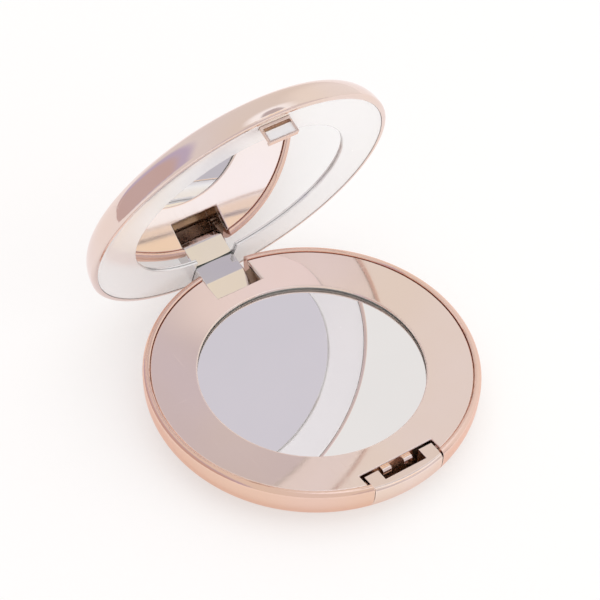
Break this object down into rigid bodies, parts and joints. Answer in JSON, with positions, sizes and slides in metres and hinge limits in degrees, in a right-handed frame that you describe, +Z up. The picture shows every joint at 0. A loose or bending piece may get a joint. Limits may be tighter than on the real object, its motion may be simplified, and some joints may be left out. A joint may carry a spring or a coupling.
{
  "type": "mirror compact",
  "caption": "Round hinged mirror compact in plated plastic, with a dished deck round a sunk glass mirror, a mirrored lid, a hinge lug in a notch and a push button that releases the lid's catch.",
  "frame": {"origin": "middle of the flat underside that the base rests on", "axes": "+Z up, +Y towards the hinge, -Y towards the push button, +X along the hinge axis"},
  "size_m": [0.08, 0.0902, 0.0765],
  "materials": {
    "rose_casing": "vacuum plated rose gold, polished",
    "rose_deck": "vacuum plated rose gold, soft gloss",
    "rose_button": "vacuum plated rose gold, soft gloss",
    "rose_lid": "vacuum plated rose gold, polished",
    "silver_frame": "vacuum plated silver, satin",
    "silver_lug": "vacuum plated silver, polished",
    "grey_tray": "moulded",
    "foam_pad": "double-sided foam",
    "mirror_glass": "back-silvered glass",
    "pin_steel": "drawn"
  },
  "bodies": {
    "base": {"base_shell": "rose_casing", "inner_deck": "rose_deck", "mirror_tray": "grey_tray", "base_mirror_pad": "foam_pad", "base_mirror": "mirror_glass", "hinge_pin_left": "pin_steel", "hinge_pin_right": "pin_steel", "button_spring": "pin_steel"},
    "button": {"push_button": "rose_button"},
    "lid": {"lid_shell": "rose_lid", "lid_bezel": "silver_frame", "lid_mirror_pad": "foam_pad", "lid_mirror": "mirror_glass", "hinge_lug": "silver_lug", "lid_catch": "rose_lid"}
  },
  "joints": [
    {"name": "lid_hinge", "type": "hinge", "parent": "base", "child": "lid", "pos_m": [0, 0.03474, 0.00255], "axis": [-1, 0, 0], "range_deg": [-69.6, 4.4]},
    {"name": "button_press", "type": "slide", "parent": "base", "child": "button", "axis": [0, 1, 0], "range_m": [0, 0.0008], "stiffness_N_per_m": 1500, "springref_m": -0.0005, "deforming": ["button_spring"]}
  ]
}
